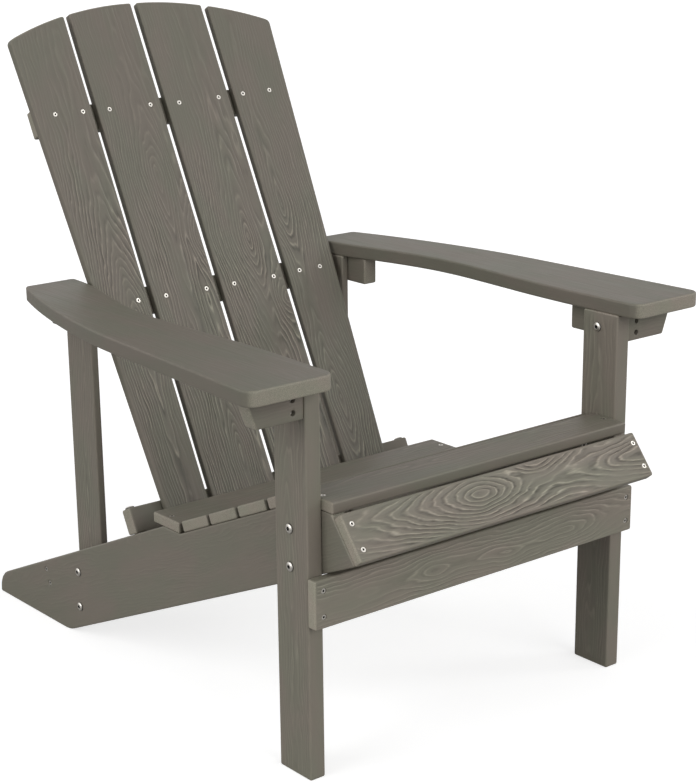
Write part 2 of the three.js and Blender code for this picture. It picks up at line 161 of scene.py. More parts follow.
STRAIGHT_EYE = (Eye(0.7, 25 * MM, 0.03, 0.5),)
STRINGER = Figure(4.4 * MM, 1.6, 0.12 * MM, 0.16, 0.85, (Eye(0.1, 40 * MM, 0.12, 0.3),))
LEG = Figure(
    4.6 * MM, 1.2, 0.14 * MM, 0.4, 0.7,
    (Eye(0.06, 4 * MM, 0.16, 0.12, 0.3), Eye(-0.2, -6 * MM, 0.16, 0.12, 0.4)),
)
POST = Figure(4.4 * MM, 1.1, 0.14 * MM, 0.55, 0.6, (Eye(0.1, -8 * MM, 0.12, 0.16, 0.4),))
BATTEN = Figure(4.2 * MM, 1.0, 0.10 * MM, 0.14, 0.7, STRAIGHT_EYE)
SEAT = Figure(5.0 * MM, 1.1, 0.20 * MM, 0.35, 0.7, (Eye(0.5, 18 * MM, 0.035, 0.6),))
ARM = Figure(5.0 * MM, 1.0, 0.07 * MM, 0.14, 0.9, (Eye(0.1, 0.0, 0.05, 0.4),))
APRON = Figure(
    5.0 * MM, 1.0, 0.30 * MM, 0.65, 0.45,
    (Eye(-0.086, -5 * MM, 0.32, 0.10), Eye(0.04, -6 * MM, 0.3, 0.12, 0.35),
     Eye(0.15, -2 * MM, 0.3, 0.12, 0.35)),
    (Calm(-0.22, -8 * MM, 0.08, 24 * MM), Calm(0.24, -10 * MM, 0.04, 20 * MM)),
)
WATERFALL = Figure(
    4.8 * MM, 0.8, 0.55 * MM, 1.5, 0.4,
    (Eye(-0.040, 9.5 * MM, 0.34, 0.17), Eye(0.068, 43 * MM, 0.40, 0.14),
     Eye(0.34, 4 * MM, 0.17, 0.40)),
    (Calm(0.07, 7 * MM, 0.045, 11 * MM), Calm(0.18, -22 * MM, 0.05, 9 * MM),
     Calm(-0.34, 0.0, 0.15, 0.1)),
)
SLAT_TOP = Calm(0.36, 0.0, 0.25, 0.3)
SLATS = {  # each slat's eyes and calm places
    "back_slat_1": (
        (Eye(-0.08, -24 * MM, 0.3, 0.16, 0.3),),
        (Calm(-0.31, -38 * MM, 0.09, 14 * MM),),
    ),
    "back_slat_2": (
        (Eye(0.119, -10 * MM, 0.28, 0.10, 0.7), Eye(0.019, -57 * MM, 0.5, 0.06),
         Eye(-0.30, -14 * MM, 0.25, 0.12, 0.3)),
        (Calm(-0.04, 0.0, 0.07, 13 * MM),),
    ),
    "back_slat_3": (
        (Eye(0.006, -17 * MM, 0.2, 0.14, 1.6), Eye(-0.096, -52 * MM, 0.45, 0.06)),
        (Calm(-0.12, -5 * MM, 0.07, 14 * MM),),
    ),
    "back_slat_4": (
        (Eye(0.05, 25 * MM, 0.1, 0.14, 3.0), Eye(-0.253, 26 * MM, 0.22, 0.12)),
        (Calm(-0.10, 0.0, 0.07, 60 * MM),),
    ),
}


def slat_figure(node):
    """The slats share one kind of grain, and each has its own eyes."""
    eyes, calms = SLATS[node]
    return Figure(4.3 * MM, 1.0, 0.30 * MM, 1.1, 0.6, eyes, (SLAT_TOP, *calms))


def rings_at(along, across, figure, seed):
    """How many rings lie between each place and the heart of its eye: a line at each whole one."""
    wander = WANDER * lattice_noise(along / WANDER_LENGTH, along * 0 + 0.5, seed)
    near = 0
    for eye in figure.eyes:
        beside = np.abs(across - eye.across - wander)
        slant = np.where(along < eye.along, eye.slant * eye.tail, eye.slant)
        beyond = slant * eye.length * np.tanh(np.abs(along - eye.along) / eye.length)
        reach = (beside ** EYE_POINT + beyond ** EYE_POINT) ** (1 / EYE_POINT)
        near = near + np.exp(-reach / figure.spacing / EYE_BLEND)
    rings = -EYE_BLEND * np.log(near)
    waves = lattice_noise(along / WAVES[0], across / WAVES[1], seed + 1)
    ripples = lattice_noise(along / RIPPLES[0], across / RIPPLES[1], seed + 2)
    rings += figure.waviness * waves
    rings += RIPPLE_SHARE * figure.waviness * ripples
    return rings


def clearness(along, across, figure, seed):
    """How clearly the lines stand out, from 0 to 1."""
    patches = lattice_noise(along / PATCHES[0], across / PATCHES[1], seed + 3) * 1.4 + 0.55
    clear = 1 - figure.patchy * (1 - np.clip(patches, 0, 1))
    for calm in figure.calms:
        out = ((along - calm.along) / calm.length) ** 2 + ((across - calm.across) / calm.width) ** 2
        clear = clear * (1 - CALM * np.exp(-out ** 2))
    return clear


def grain_lines(along, across, figure, seed, pitch):
    """The embossed lines, from -1 in a groove to 1 on a ridge. They fade where they come closer
    together than the board's grid can hold."""
    rings = rings_at(along, across, figure, seed)
    step = 0.3 * MM
    crowding = np.abs(rings_at(along, across + step, figure, seed) - rings) / step * pitch
    room = np.clip((CROWDED - crowding) / (CROWDED - UNCROWDED), 0, 1)
    turn = 2 * math.pi * rings
    ridge = (0.5 + 0.5 * np.cos(turn)) ** RIDGE_SHARPNESS
    groove = (0.5 + 0.5 * np.cos(turn - GROOVE_LAG)) ** GROOVE_SHARPNESS
    return (ridge - groove) * room * clearness(along, across, figure, seed)


# ---- Outlines, as closed loops of points in a board's face ----

def turns(loop):
    """The signed angle by which a closed loop turns at each point."""
    into = loop - np.roll(loop, 1, 0)
    out = np.roll(loop, -1, 0) - loop
    cross = into[:, 0] * out[:, 1] - into[:, 1] * out[:, 0]
    return np.arctan2(cross, (into * out).sum(1))


def area(loop):
    """The area within a loop, below zero where it runs clockwise."""
    after = np.roll(loop, -1, 0)
    return 0.5 * (loop[:, 0] * after[:, 1] - loop[:, 1] * after[:, 0]).sum()


def simplified(loop):
    """The loop without repeated points and points on its straight stretches."""
    apart = np.linalg.norm(np.roll(loop, -1, 0) - loop, axis=1) > WELD
    loop = loop[apart]
    return loop[np.abs(turns(loop)) > STRAIGHT]


def rounder(loop):
    """The loop with a point added on each edge of its curves, bulged as its neighbours bend. At
    each point the shorter edge takes more of the turn, so straight edges stay straight."""
    bend = turns(loop)
    after = np.linalg.norm(np.roll(loop, -1, 0) - loop, axis=1)
    before = np.roll(after, 1)
    starts = bend * before / (before + after)
    ends = np.roll(bend * after / (before + after), -1)
    points = []
    for i, here in enumerate(loop):
        edge = loop[(i + 1) % len(loop)] - here
        points.append(here)
        turn = starts[i] + ends[i]
        if starts[i] * ends[i] > 0 and abs(turn) > LEAST_ARC_TURN and after[i] < ARC_EDGE:
            outwards = np.array((edge[1], -edge[0]))
            points.append(here + edge / 2 + outwards / 2 * math.tan(turn / 4))
    return np.array(points)


def divided(loop, pitch):
    """The loop with its long edges divided to suit a grid of pitch (along, across)."""
    points = []
    for here, there in zip(loop, np.roll(loop, -1, 0)):
        parts = max(1, math.ceil(np.max(np.abs(there - here) / (pitch[0], 2 * pitch[1]))))
        points += [here + (there - here) * k / parts for k in range(parts)]
    return np.array(points)


def inset(loop, distance):
    """A counter-clockwise loop moved inwards."""
    edge = np.roll(loop, -1, 0) - loop
    normal = np.stack((edge[:, 1], -edge[:, 0]), 1) / np.linalg.norm(edge, axis=1)[:, None]
    before = np.roll(normal, 1, 0)
    return loop - distance * (normal + before) / (1 + (normal * before).sum(1))[:, None]


def clear_of(points, loop):
    """How far each point is from the loop, and whether it lies inside."""
    start, end = loop, np.roll(loop, -1, 0)
    edge = end - start
    to_point = points[:, None, :] - start[None]
    share = np.clip((to_point * edge).sum(2) / (edge * edge).sum(1), 0, 1)
    distance = np.linalg.norm(to_point - share[..., None] * edge, axis=2).min(1)
    spans = (start[:, 1] > points[:, None, 1]) != (end[:, 1] > points[:, None, 1])
    rise = np.where(edge[:, 1] == 0, 1, edge[:, 1])
    cut = start[:, 0] + (points[:, None, 1] - start[:, 1]) * edge[:, 0] / rise
    inside = (spans & (points[:, None, 0] < cut)).sum(1) % 2 == 1
    return distance, inside


def circle(centre, radius, sides):
    angles = np.arange(sides) * 2 * math.pi / sides
    return np.array(centre) + radius * np.stack((np.cos(angles), np.sin(angles)), 1)


def section(mesh, up, level):
    """The closed loops, in 3D, in which a plane across up cuts a mesh of triangles."""
    crossing = {}
    for edge in mesh.edges:
        low, high = (vertex.co.dot(up) - level for vertex in edge.verts)
        if (low < 0) != (high < 0):
            crossing[edge.index] = edge.verts[0].co.lerp(edge.verts[1].co, low / (low - high))
    beside = defaultdict(list)
    for face in mesh.faces:
        ends = [edge.index for edge in face.edges if edge.index in crossing]
        if len(ends) == 2:
            beside[ends[0]].append(ends[1])
            beside[ends[1]].append(ends[0])
    loops = []
    while beside:
        here = next(iter(beside))
        loop = []
        while here is not None:
            loop.append(np.array(crossing[here]))
            here = next((there for there in beside.pop(here) if there in beside), None)
        loops.append(np.array(loop))
    return loops


# ---- Boards ----

class MeshMaker:
    """Points and faces collected into one mesh. Each point has two values of its own: how strong
    the grain is there, and its shade. On a board the shade is a painted highlight on rounded edges,
    painted shade in screw holes and the paleness of sawn ends. On steel it is painted shade in
    recesses and at the foot of heads."""

    def __init__(self):
        self.points, self.values, self.faces, self.count = [], [], [], 0

    def add(self, points, grain=0, shade=0):
        start = self.count
        self.count += len(points)
        values = np.zeros((len(points), 2))
        values[:, 0] = grain
        values[:, 1] = shade
        self.points.append(points)
        self.values.append(values)
        return np.arange(start, self.count)

    def bridge(self, low, high):
        """A band of faces between two closed rings, whose normals point out of a solid when the
        rings run counter-clockwise, seen from above, and high lies above low."""
        for i, a in enumerate(low):
            j = (i + 1) % len(low)
            self.faces.append((a, low[j], high[j], high[i]))

    def cap(self, ring, centre):
        """A fan from a ring that runs counter-clockwise about the way that it faces."""
        for i, a in enumerate(ring):
            self.faces.append((a, ring[(i + 1) % len(ring)], centre))

    def arrays(self):
        return np.concatenate(self.points), np.concatenate(self.values).T, self.faces


def add_attribute(mesh, name, values):
    kind, field = ("FLOAT", "value") if values.ndim == 1 else ("FLOAT_VECTOR", "vector")
    mesh.attributes.new(name, kind, "POINT").data.foreach_set(field, values.ravel())


class Board:
    """A CAD board's own frame: a runs along its grain, b across its face and h out of it."""

    def __init__(self, node, face, grain, along_edge=True):
        mesh = bmesh.new()
        mesh.from_mesh(NODES[node].data)
        bmesh.ops.remove_doubles(mesh, verts=mesh.verts, dist=WELD)
        self.node = node
        self.up = self.facing(mesh, Vector(face)).normal.copy()
        foot = self.facing(mesh, -self.up)
        self.top = max(vertex.co.dot(self.up) for vertex in mesh.verts)
        loops = section(mesh, self.up, self.top - SECTION_DEPTH)
        low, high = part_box(node)
        self.origin = (low + high) / 2
        self.turn_to(Vector(grain))
        if along_edge:
            outer = max((simplified(self.flat(loop)) for loop in loops), key=lambda o: abs(area(o)))
            edges = np.roll(outer, -1, 0) - outer
            longest = edges[np.argmax(np.linalg.norm(edges, axis=1))]
            self.turn_to(self.along * longest[0] + self.across * longest[1])
            if self.along.dot(Vector(grain)) < 0:
                self.turn_to(-self.along)
        flat = [simplified(self.flat(loop)) for loop in loops]
        flat.sort(key=lambda loop: -abs(area(loop)))
        flat = [rounder(rounder(loop if area(loop) > 0 else loop[::-1])) for loop in flat]
        self.outline, self.bores = flat[0], flat[1:]
        self.top -= self.origin.dot(self.up)
        self.foot_tilt = [-foot.normal.dot(way) / foot.normal.dot(self.up)
                          for way in (self.along, self.across)]
        spot = foot.verts[0].co - self.origin
        self.foot = spot.dot(self.up) - self.foot_tilt[0] * spot.dot(self.along)
        self.foot -= self.foot_tilt[1] * spot.dot(self.across)
        mesh.free()

    @staticmethod
    def facing(mesh, way):
        """The largest face that looks about the given way."""
        way = way.normalized()
        facing = [face for face in mesh.faces if face.normal.dot(way) > 0.8]
        return max(facing, key=lambda face: face.calc_area())

    def turn_to(self, grain):
        """Run a along the grain, within the board's face."""
        self.along = (grain - self.up * grain.dot(self.up)).normalized()
        self.across = self.up.cross(self.along)

    def flat(self, points):
        """The places in the board's face of points of the row frame."""
        offset = np.asarray(points) - np.array(self.origin)
        return np.stack((offset @ np.array(self.along), offset @ np.array(self.across)), -1)

    def bottom(self, flat):
        """The height of the board's back at places in its face."""
        return self.foot + flat @ np.array(self.foot_tilt)

    def world(self, flat, height):
        """Points of the row frame from places in the board's face and heights out of it."""
        height = np.broadcast_to(height, len(flat))
        return (np.array(self.origin) + np.outer(flat[:, 0], self.along)
                + np.outer(flat[:, 1], self.across) + np.outer(height, self.up))


def face_triangles(outline, holes, grid):
    """Triangles over a face between its outline and its holes, through the points of a grid.
    They index outline, then the holes in turn, then the grid."""
    loops = [outline, *holes]
    points = np.concatenate([*loops, grid])
    edges, start = [], 0
    for loop in loops:
        edges += [(start + i, start + (i + 1) % len(loop)) for i in range(len(loop))]
        start += len(loop)
    made = delaunay_2d_cdt([Vector(p) for p in points], edges, [], 0, 1e-7, True)
    source = np.array([ids[0] for ids in made[3]])
    triangles = source[np.array(made[2])]
    first, second, third = (points[triangles[:, k]] for k in range(3))
    (ax, ay), (bx, by) = (second - first).T, (third - first).T
    middles = points[triangles].mean(1)
    kept = (ax * by - ay * bx > 1e-12) & clear_of(middles, outline)[1]
    for hole in holes:
        near = np.linalg.norm(middles - hole.mean(0), axis=1) < np.ptp(hole, axis=0).max()
        kept[near] &= ~clear_of(middles[near], hole)[1]
    return triangles[kept]


def face_grid(outline, holes, pitch):
    """The points of a grid inside an outline and outside its holes."""
    low, high = outline.min(0), outline.max(0)
    counts = np.maximum(2, np.ceil((high - low) / pitch).astype(int))
    axes = [np.linspace(low[k], high[k], counts[k] + 1)[1:-1] for k in (0, 1)]
    grid = np.stack(np.meshgrid(*axes), -1).reshape(-1, 2)
    distance, inside = clear_of(grid, outline)
    kept = inside & (distance > 0.4 * pitch[1])
    for hole in holes:
        distance, inside = clear_of(grid, hole)
        kept &= ~inside & (distance > 0.4 * pitch[1])
    return grid[kept]


def relief_share(points, outline, holes):
    """How much of the grain's relief each point takes: none at edges and holes."""
    nearest = clear_of(points, outline)[0]
    for hole in holes:
        nearest = np.minimum(nearest, clear_of(points, hole)[0])
    return np.clip(nearest / RELIEF_FADE, 0, 1)


def add_face(maker, board, outline_ring, outline, hole_rings, holes, figure, pitch, seed, upper):
    """One embossed face of a board, joined to the rings that already stand round it."""
    grid = face_grid(outline, holes, pitch)
    lines = grain_lines(grid[:, 0], grid[:, 1], figure, seed, pitch[1])
    share = relief_share(grid, outline, holes)
    sunk = figure.depth * (0.5 - 0.5 * lines * share) * share
    height = board.top - sunk if upper else board.bottom(grid) + sunk
    # How strongly the lines show in colour, with a painted highlight on their ridges.
    grain = figure.tint * share * clearness(grid[:, 0], grid[:, 1], figure, seed)
    inner = maker.add(board.world(grid, height), grain)
    ids = np.concatenate([outline_ring, *hole_rings, inner])
    triangles = face_triangles(outline, holes, grid)
    if not upper:
        triangles = triangles[:, ::-1]
    maker.faces += [tuple(triangle) for triangle in ids[triangles].tolist()]


def end_grain(outline):
    """How far each outline point stands on a sawn end, from 0 to 1."""
    edge = np.roll(outline, -1, 0) - outline
    normal = np.abs(edge[:, 1]) / np.linalg.norm(edge, axis=1)
    lean = (normal + np.roll(normal, 1)) / 2
    return np.clip((lean - 0.55) / 0.3, 0, 1)


def add_walls(maker, board, outline):
    """The rings of a board's walls, from its foot to its top, with both edges rounded. The edges
    carry a painted highlight, and the sawn ends are paler."""
    angles = [k * math.pi / 2 / EDGE_STEPS for k in range(EDGE_STEPS + 1)]
    steps = [(EDGE_RADIUS * (1 - math.sin(t)), EDGE_RADIUS * (1 - math.cos(t))) for t in angles]
    # A painted highlight along the middle of each rounded edge.
    painted_edge_highlight = [EDGE_HIGHLIGHT * math.sin(2 * t) for t in angles] + [0]
    walled = [math.sin(t) for t in angles] + [1]
    steps.append((0, EDGE_RADIUS + WALL_SUPPORT))
    sawn = SAWN_PALENESS * end_grain(outline)
    below, above = [], []
    for (inwards, rise), painted_light_and_sawn_paleness, share in zip(steps, painted_edge_highlight, walled):
        flat = inset(outline, inwards)
        shade = painted_light_and_sawn_paleness + share * sawn
        below.append(maker.add(board.world(flat, board.bottom(flat) + rise), 0, shade))
        above.append(maker.add(board.world(flat, board.top - rise), 0, shade))
    rings = below + above[::-1]
    for low, high in zip(rings, rings[1:]):
        maker.bridge(low, high)
    return rings[0], rings[-1]


def add_sink(maker, board, spot, depth):
    """A countersunk screw hole in the show face, whose head lies depth below it. Returns its rim
    and its ring of points."""
    rim = circle(spot, SINK_RADIUS, SINK_SIDES)
    # The hole's walls carry painted shade, darker further down.
    levels = [
        (SINK_RADIUS, 0, 0),
        (0.96 * SINK_RADIUS, 0.2 * MM, -0.2),
        (0.93 * SINK_RADIUS, depth + 0.3 * MM, -0.5),
        (0.45 * SINK_RADIUS, depth + SINK_DEPTH, -0.6),
    ]
    rings = []
    for radius, below, shade in levels:
        around = circle(spot, radius, SINK_SIDES)
        rings.append(maker.add(board.world(around, board.top - below), 0, shade))
    for high, low in zip(rings, rings[1:]):
        maker.bridge(high, low)
    floor = maker.add(board.world(np.array([spot]), board.top - depth - SINK_DEPTH))
    maker.cap(rings[-1], floor[0])
    return rim, rings[0]


def board_mesh(board, figure, pitch, seed, spots, depth):
    """A whole board: its walls, its bolt bores and screw holes, its face and its coarser back."""
    maker = MeshMaker()
    outline = divided(board.outline, pitch)
    foot_ring, top_ring = add_walls(maker, board, outline)
    face = inset(outline, EDGE_RADIUS)
    bores = [maker.add(board.world(bore, board.top)) for bore in board.bores]
    feet = [maker.add(board.world(bore, board.bottom(bore))) for bore in board.bores]
    for high, low in zip(bores, feet):
        maker.bridge(high, low)
    sinks = [add_sink(maker, board, spot, depth) for spot in spots]
    holes = board.bores + [rim for rim, _ in sinks]
    rings = bores + [ring for _, ring in sinks]
    add_face(maker, board, top_ring, face, rings, holes, figure, pitch, seed, True)
    coarse = np.array(pitch) * BACK_FACE_COARSENESS
    add_face(maker, board, foot_ring, face, feet, board.bores, figure, coarse, seed + 50, False)
    return maker


def board_piece(board, kind, seed, spots, depth, material):
    """The board's own object, which stands for its CAD node."""
    made = board_mesh(board, kind.figure, kind.pitch, seed, spots, depth)
    points, (grain, painted_light_and_sawn_paleness), faces = made.arrays()
    points = np.clip(points, *CAD_BOUNDS)
    mesh = bpy.data.meshes.new(board.node + "_board")
    mesh.from_pydata(points.tolist(), [], faces)
    mesh.shade_smooth()
    axes = np.array([board.along, board.across, board.up])
    local = (points - np.array(board.origin)) @ axes.T
    random = np.random.default_rng(seed)
    back = local[:, 2] < (board.top + board.foot) / 2
    rings = rings_at(local[:, 0], local[:, 1], kind.figure, seed)
    back_rings = rings_at(local[:, 0], local[:, 1], kind.figure, seed + 50)
    add_attribute(mesh, "place", local + random.random(3) * 40)
    add_attribute(mesh, "rings", np.where(back, back_rings, rings))
    add_attribute(mesh, "grain", grain)
    # The shade: a painted highlight on rounded edges, painted shade in screw holes, and paler sawn
    # ends.
    add_attribute(mesh, "shade", painted_light_and_sawn_paleness)
    # Painted light for the board's kind, plus a small random tone of its own.
    add_attribute(mesh, "tone", np.full(len(points), kind.tone + random.uniform(-0.02, 0.02)))
    piece = bpy.data.objects.new(board.node + "_board", mesh)
    bpy.context.scene.collection.objects.link(piece)
    mesh.materials.append(material)
    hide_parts(board.node)
    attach(piece, "root")
    return piece


# ---- Node-based materials ----

class Nodes:
    """A material's node tree, built one link at a time."""

    def __init__(self, name):
        self.material = bpy.data.materials.new(name)
        self.material.use_nodes = True
        self.tree = self.material.node_tree
        self.tree.nodes.clear()
        self.output = self.tree.nodes.new("ShaderNodeOutputMaterial")

    def add(self, kind, inputs=(), **settings):
        node = self.tree.nodes.new("ShaderNode" + kind)
        for key, value in settings.items():
            setattr(node, key, value)
        for key, value in dict(inputs).items():
            if isinstance(value, bpy.types.NodeSocket):
                self.tree.links.new(value, node.inputs[key])
            else:
                node.inputs[key].default_value = value
        return node

    def attribute(self, name, output):
        return self.add("Attribute", attribute_name=name).outputs[output]

    def math(self, operation, first, second=0.0, third=0.0):
        node = self.add("Math", {0: first, 1: second, 2: third}, operation=operation)
        return node.outputs[0]

    def map(self, value, low, high, to_low, to_high):
        """A value's range, mapped to another and held within it."""
        return self.add("MapRange", {"Value": value, "From Min": low, "From Max": high,
                                     "To Min": to_low, "To Max": to_high}).outputs[0]

    def noise(self, vector, scales, detail, roughness=0.5):
        stretched = self.add("VectorMath", {0: vector, 1: scales}, operation="MULTIPLY").outputs[0]
        made = self.add("TexNoise", {"Vector": stretched, "Scale": 1.0, "Detail": detail,
                                     "Roughness": roughness})
        return made.outputs["Fac"]

    def finish(self, shader):
        self.tree.links.new(shader, self.output.inputs["Surface"])
        return self.material


def board_material():
    """Satin poly resin, tinted in broad patches, with embossed lines whose pale ridges are a
    painted highlight, and fine pores.
    """
    n = Nodes("wood_grain_resin")
    place = n.attribute("place", "Vector")
    grain = n.attribute("grain", "Fac")
    shade = n.attribute("shade", "Fac")
    wobble = n.math("SUBTRACT", n.noise(place, (26, 210, 210), 2), 0.5)
    rings = n.math("MULTIPLY_ADD", wobble, 0.5, n.attribute("rings", "Fac"))

    def comb(lag, sharpness):
        turn = n.math("MULTIPLY_ADD", rings, 2 * math.pi, -lag)
        wave = n.math("MULTIPLY_ADD", n.math("COSINE", turn), 0.4999, 0.5)
        return n.math("POWER", wave, sharpness)

    breaks = n.map(n.noise(place, (38, 300, 300), 2), 0.3, 0.62, 0.25, 1.25)
    strength = n.math("MULTIPLY", grain, breaks)
    ridge = n.math("MULTIPLY", comb(0.0, 2 * RIDGE_SHARPNESS), strength)
    groove = n.math("MULTIPLY", comb(GROOVE_LAG, 1.2 * GROOVE_SHARPNESS), strength)

    along = n.add("SeparateXYZ", {0: place}).outputs[0]
    flow = n.add("CombineXYZ", {0: along, 1: n.math("MULTIPLY", rings, 5 * MM)}).outputs[0]
    fibres = n.noise(flow, (16, 620, 1), 3, 0.65)
    streaks = n.noise(place, (11, 330, 330), 3)
    pores = n.noise(place, (60, 1300, 1300), 2)
    patches = n.noise(place, (9, 24, 24), 2)

    hue = n.map(patches, 0.38, 0.62, 0.0, 1.0)
    colour = n.add("Mix", {0: hue, 6: (*BOARD_WARM, 1), 7: (*BOARD_GREEN, 1)},
                   data_type="RGBA").outputs[2]
    # The tone attribute: the painted light for each kind of board, and a small random tone.
    value = n.math("ADD", n.attribute("tone", "Fac"), 1.0)
    # The shade attribute adds a painted highlight on rounded edges and painted shade in screw
    # holes, and makes sawn ends paler.
    value = n.math("ADD", value, shade)
    # Pale ridges are a painted highlight; the grooves are darker.
    value = n.math("MULTIPLY_ADD", ridge, PAINTED_RIDGE_HIGHLIGHT, value)
    value = n.math("MULTIPLY_ADD", groove, -GROOVE_TINT, value)
    for noise, amount in ((streaks, 0.16), (pores, 0.10)):
        value = n.math("MULTIPLY_ADD", n.math("SUBTRACT", noise, 0.5), amount, value)
    speckle = n.math("MULTIPLY", n.math("SUBTRACT", pores, 0.5), n.math("MAXIMUM", shade, 0.0))
    value = n.math("MULTIPLY_ADD", speckle, SAWN_SPECKLE, value)
    thread = n.math("MULTIPLY", n.math("SUBTRACT", fibres, 0.5), grain)
    value = n.math("MULTIPLY_ADD", thread, 0.5, value)
    tinted = n.add("HueSaturation", {"Color": colour, "Value": value}).outputs[0]

    roughness = n.map(streaks, 0.3, 0.7, 0.46, 0.6)
    height = n.math("MULTIPLY", n.math("SUBTRACT", ridge, groove), 0.35 * MM)
    for noise, amount in ((streaks, 0.09 * MM), (pores, 0.05 * MM), (thread, 0.16 * MM)):
        height = n.math("MULTIPLY_ADD", noise, amount, height)
    bump = n.add("Bump", {"Height": height, "Strength": 1.0, "Distance": 1.0}).outputs[0]
    shader = n.add("BsdfPrincipled", {"Base Color": tinted, "Roughness": roughness,
                                      "Normal": bump, "Specular IOR Level": 0.32})
    return n.finish(shader.outputs[0])


def steel_material():
    """Plain stainless steel, faintly turned, with painted shade in its recesses and at the foot of
    its heads.
    """
    n = Nodes("stainless")
    place = n.add("TexCoord").outputs["Object"]
    painted_shade = n.attribute("shade", "Fac")
    turned_finish = n.noise(place, (900, 900, 900), 2)
    roughness = n.map(turned_finish, 0.3, 0.7, 0.26, 0.4)
    roughness = n.math("MULTIPLY_ADD", painted_shade, 0.4, roughness)
    tint = n.map(turned_finish, 0.3, 0.7, 0.57, 0.70)
    # Painted shade darkens recesses, the undersides of heads and the foot of each head.
    tint = n.math("MULTIPLY", tint, n.math("MULTIPLY_ADD", painted_shade, -0.95, 1.0))
    green, blue = n.math("MULTIPLY", tint, 0.955), n.math("MULTIPLY", tint, 0.875)
    colour = n.add("CombineColor", {"Red": tint, "Green": green, "Blue": blue}).outputs[0]
    shader = n.add("BsdfPrincipled", {"Base Color": colour, "Roughness": roughness,
                                      "Metallic": 1.0})
    return n.finish(shader.outputs[0])


# ---- Fasteners: rings about an axis ----

def axis_basis(way):
    """Two directions that make a right-handed set with way."""
    side = way.orthogonal().normalized()
    return side, way.cross(side)


def turned(maker, base, way, levels):
    """A closed form about an axis, from its bottom to its top. Each level is (radius, height) and
    how much painted shade darkens the metal there, and a radius may be a function of the angle. The
    first and the last level close on the axis."""
    side, other = axis_basis(way)
    angles = np.arange(BOLT_SIDES) * 2 * math.pi / BOLT_SIDES
    spokes = np.outer(np.cos(angles), side) + np.outer(np.sin(angles), other)
    rings = []
    for radius, height, *painted_shade in levels:
        reach = radius(angles) if callable(radius) else np.full(BOLT_SIDES, radius)
        centre = np.array(base + way * height)
        rings.append(maker.add(centre + spokes * reach[:, None], 0, painted_shade[0] if painted_shade else 0))
    for low, high in zip(rings, rings[1:]):
        maker.bridge(low, high)
    # The caps' centres lie in holes and sockets, and carry full painted shade.
    low_centre = maker.add(np.array([base + way * levels[0][1]]), 0, 1)[0]
    high_centre = maker.add(np.array([base + way * levels[-1][1]]), 0, 1)[0]
    maker.cap(rings[0][::-1], low_centre)
    maker.cap(rings[-1], high_centre)


def hexagon(across_flats):
    """The radius of a hexagonal socket with slightly softened corners, by angle."""
    def radius(angles):
        bend = np.mod(angles, math.pi / 3) - math.pi / 6
        return np.minimum(across_flats / 2 / np.cos(bend), 0.56 * across_flats)
    return radius


def star(radius):
    """The radius of a six-lobed drive recess, by angle."""
    return lambda angles: radius * (1 + 0.16 * np.cos(6 * angles))


def fastener_piece(name, maker, material, nodes=()):
    points, (_, painted_shade), faces = maker.arrays()
    mesh = bpy.data.meshes.new(name)
    mesh.from_pydata(points.tolist(), [], faces)
    mesh.shade_smooth()
    mesh.set_sharp_from_angle(angle=math.radians(38))
    add_attribute(mesh, "shade", painted_shade)
    mesh.materials.append(material)
    piece = bpy.data.objects.new(name, mesh)
    bpy.context.scene.collection.objects.link(piece)
    if nodes:
        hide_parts(*nodes)
    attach(piece, "root")
    return piece


def screw(maker, board, spot, depth):
    """A countersunk screw head with a star recess, depth below the board's face."""
    rim = HEAD_RADIUS
    # The head's underside, its rim and its star recess carry painted shade.
    levels = [
        (0.42 * rim, -2.3 * MM, 1),
        (0.97 * rim, -0.4 * MM, 1),
        (rim, -0.25 * MM, 0.6),
        (0.95 * rim, -0.08 * MM, 0),
        (1.12 * STAR_RADIUS, 0, 0),
        (star(STAR_RADIUS), -0.08 * MM, 0.9),
        (star(0.95 * STAR_RADIUS), -0.5 * MM, 1),
        (star(0.9 * STAR_RADIUS), -1.6 * MM, 1),
    ]
    base = Vector(board.world(np.array([spot]), board.top - depth)[0])
    turned(maker, base, board.up, levels)


def along_node(node):
    """A fastener's axis: its two ends, the end with the head last, and its largest radius."""
    points = np.array([vertex.co for vertex in NODES[node].data.vertices])
    middle = points.mean(0)
    way = np.linalg.svd(points - middle, full_matrices=False)[2][0]
    reach = (points - middle) @ way
    radius = np.linalg.norm(points - middle - np.outer(reach, way), axis=1)
    if reach[np.argmax(radius)] < (reach.min() + reach.max()) / 2:
        way, reach = -way, -reach
    off_axis = points - np.outer(reach, way)
    centre = (off_axis.min(0) + off_axis.max(0)) / 2
    low, high = (Vector(centre + way * end) for end in (reach.min(), reach.max()))
    return low, high, radius.max()


def bolt(maker, node):
    """A domed bolt with a hexagonal socket, from the foot of its shank to the top of its head."""
    low, high, head = along_node(node)
    length = (high - low).length
    way = (high - low).normalized()
    shank, dome, rim = 3 * MM, 3.4 * MM, 0.8 * MM
    socket, flat_top = 4.6 * MM, 2.8 * MM  # across the socket's flats, and radius of the flat top
    under = length - dome
    # Painted shade darkens the head's underside, the foot of its dome and its socket.
    levels = [(shank - 0.8 * MM, 0), (shank, 0.8 * MM), (shank, under - 0.2 * MM), (shank, under),
              (head - 0.3 * MM, under, 1), (head, under + 0.25 * MM, 0.9),
              (head, under + rim, 0.95)]
    steps = 8
    for k in range(1, steps):
        angle = k * math.pi / 2 / steps
        radius = head * math.cos(angle)
        if radius > flat_top:
            height = under + rim + (dome - rim) * math.sin(angle)
            levels.append((radius, height, max(0, 0.95 - 0.35 * k)))
    face = levels[-1][1] + 0.12 * MM
    levels += [(2.7 * MM, face, 0), (hexagon(socket), face - 0.2 * MM, 1),
               (hexagon(socket), face - 0.7 * MM, 1), (hexagon(socket), face - 2.2 * MM, 1)]
    turned(maker, low, way, levels)


